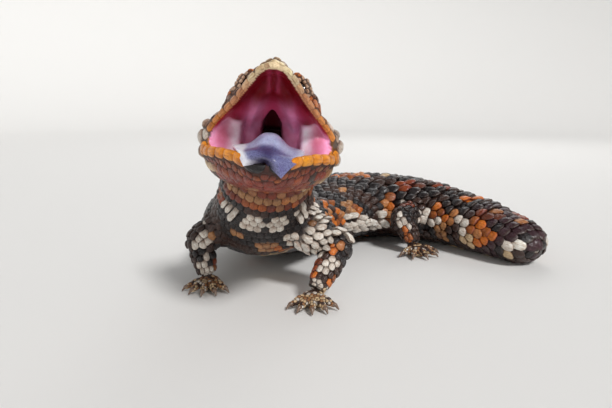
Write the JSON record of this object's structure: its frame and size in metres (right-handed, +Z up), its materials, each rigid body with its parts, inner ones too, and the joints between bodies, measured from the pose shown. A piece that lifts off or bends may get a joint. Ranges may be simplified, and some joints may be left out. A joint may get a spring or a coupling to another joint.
{
  "type": "shingleback blue-tongued skink",
  "caption": "Life-size still model of a shingleback skink standing with its head raised, its mouth wide open over a blue tongue, and its stumpy tail bent round to its left.",
  "frame": {"origin": "on the floor below the middle of the model's box", "axes": "+Z up, the head faces -Y, and +X is the animal's left, to which the body and tail bend"},
  "size_m": [0.191, 0.225, 0.1021],
  "materials": {
    "head_scales": "horny head shields, orange mottled with dark brown, satin",
    "body_scales": "thick overlapping scales, dark brown with orange and cream blotches, satin",
    "tongue": "wet grainy blue-grey flesh",
    "eye": "wet glossy dark eye",
    "mouth_lining": "wet pink mouth lining",
    "claw": "smooth dark horn"
  },
  "bodies": {
    "root": {"head": "head_scales", "lower_jaw": "head_scales", "tongue": "tongue", "eye_left": "eye", "eye_right": "eye", "neck": "body_scales", "trunk_front": "body_scales", "trunk_rear": "body_scales", "tail_base": "body_scales", "tail_end": "body_scales", "foreleg_left_upper": "body_scales", "foreleg_left_lower": "body_scales", "foreleg_left_foot": "body_scales", "foreleg_right_upper": "body_scales", "foreleg_right_lower": "body_scales", "foreleg_right_foot": "body_scales", "hindleg_left_upper": "body_scales", "hindleg_left_lower": "body_scales", "hindleg_left_foot": "body_scales", "hindleg_right_upper": "body_scales", "hindleg_right_lower": "body_scales", "hindleg_right_foot": "body_scales"}
  },
  "joints": []
}
